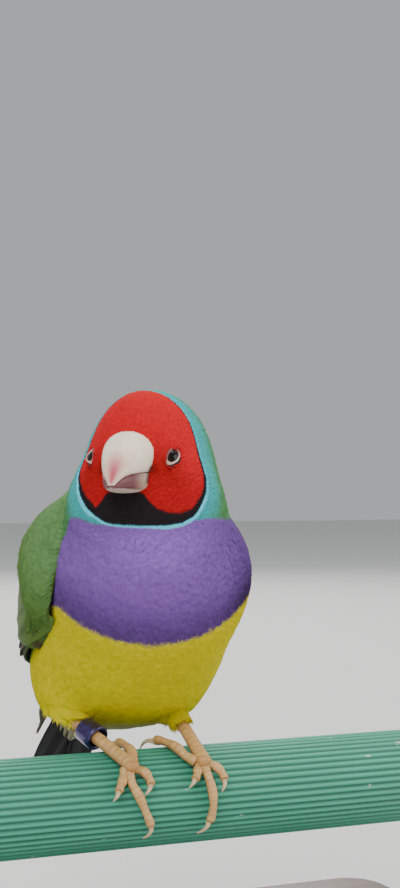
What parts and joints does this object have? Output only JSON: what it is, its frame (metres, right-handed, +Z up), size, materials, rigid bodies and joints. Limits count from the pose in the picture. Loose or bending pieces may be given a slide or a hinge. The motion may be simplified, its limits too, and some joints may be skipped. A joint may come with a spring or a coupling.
{
  "type": "gouldian finch perched on a display stand",
  "caption": "Life-size still model of a gouldian finch gripping a short ribbed perch, held by two rods on a flat wooden base.",
  "frame": {"origin": "middle of the base's underside below the middle of the perch, on the surface that the stand rests on", "axes": "+Z up, the perch along X, the bird's chest towards -Y and its left side towards +X"},
  "size_m": [0.118, 0.0932, 0.0944],
  "materials": {
    "body_feathers": "soft feathers, purple breast over a yellow belly",
    "hood_feathers": "soft feathers, turquoise",
    "mask_feathers": "short velvety feathers, red mask and black bib",
    "bill_horn": "satin horn, ivory with a pink tip",
    "eye": "wet gloss, dark brown",
    "wing_feathers": "stiff feathers, green with brown flight feathers",
    "tail_feathers": "stiff feathers, black",
    "leg_skin": "scaled skin, flesh colour",
    "leg_ring": "glossy dark violet anodising",
    "perch": "ribbed green plastic",
    "stand_wood": "satin varnish",
    "stand_steel": "brushed"
  },
  "bodies": {
    "root": {"torso": "body_feathers", "neck": "hood_feathers", "head": "mask_feathers", "bill_upper": "bill_horn", "bill_lower": "bill_horn", "eye_left": "eye", "eye_right": "eye", "wing_left": "wing_feathers", "wing_right": "wing_feathers", "tail": "tail_feathers", "leg_left": "leg_skin", "leg_right": "leg_skin", "foot_left": "leg_skin", "foot_right": "leg_skin", "leg_ring": "leg_ring", "perch": "perch", "stand_base": "stand_wood", "stand_rod_left": "stand_steel", "stand_rod_right": "stand_steel"}
  },
  "joints": []
}
